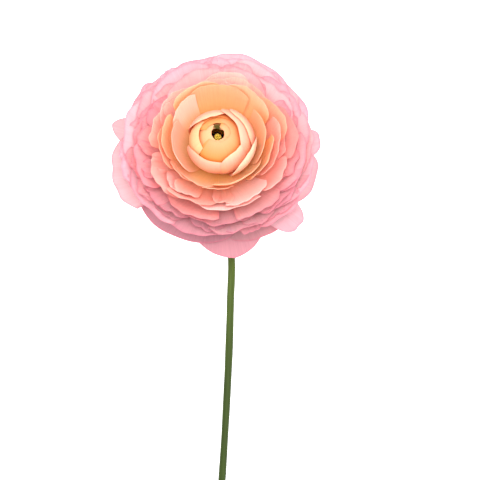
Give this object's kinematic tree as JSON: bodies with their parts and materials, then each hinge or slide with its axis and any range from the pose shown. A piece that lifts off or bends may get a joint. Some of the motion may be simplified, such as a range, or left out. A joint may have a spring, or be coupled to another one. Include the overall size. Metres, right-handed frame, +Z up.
{
  "type": "ranunculus flower",
  "caption": "Cut ranunculus bloom with layered ruffled petals, a closed heart and a long stem, lying face up on a surface.",
  "frame": {"origin": "middle of the footprint's bounding box, on the surface that the flower rests on", "axes": "+Z up from the surface; the stem runs towards -Y and the bloom is at the +Y end, facing up and leaning 20 degrees towards +Y"},
  "size_m": [0.0982, 0.236, 0.0437],
  "materials": {
    "stem": "matt fresh green, finely ribbed",
    "sepals": "soft pale green",
    "carpels": "waxy yellow-green",
    "stamens": "dull purple-black",
    "petals_heart": "cream yellow, satin",
    "petals_collar": "peach with cream rims, satin",
    "petals_orange": "apricot orange, satin",
    "petals_salmon": "salmon, satin",
    "petals_pink": "pink, satin",
    "petals_guard": "pale translucent pink, satin"
  },
  "bodies": {
    "root": {"stem": "stem", "sepals": "sepals", "carpels": "carpels", "stamens": "stamens", "petals_heart": "petals_heart", "petals_collar": "petals_collar", "petals_orange": "petals_orange", "petals_salmon": "petals_salmon", "petals_pink": "petals_pink", "petals_guard": "petals_guard"}
  },
  "joints": []
}
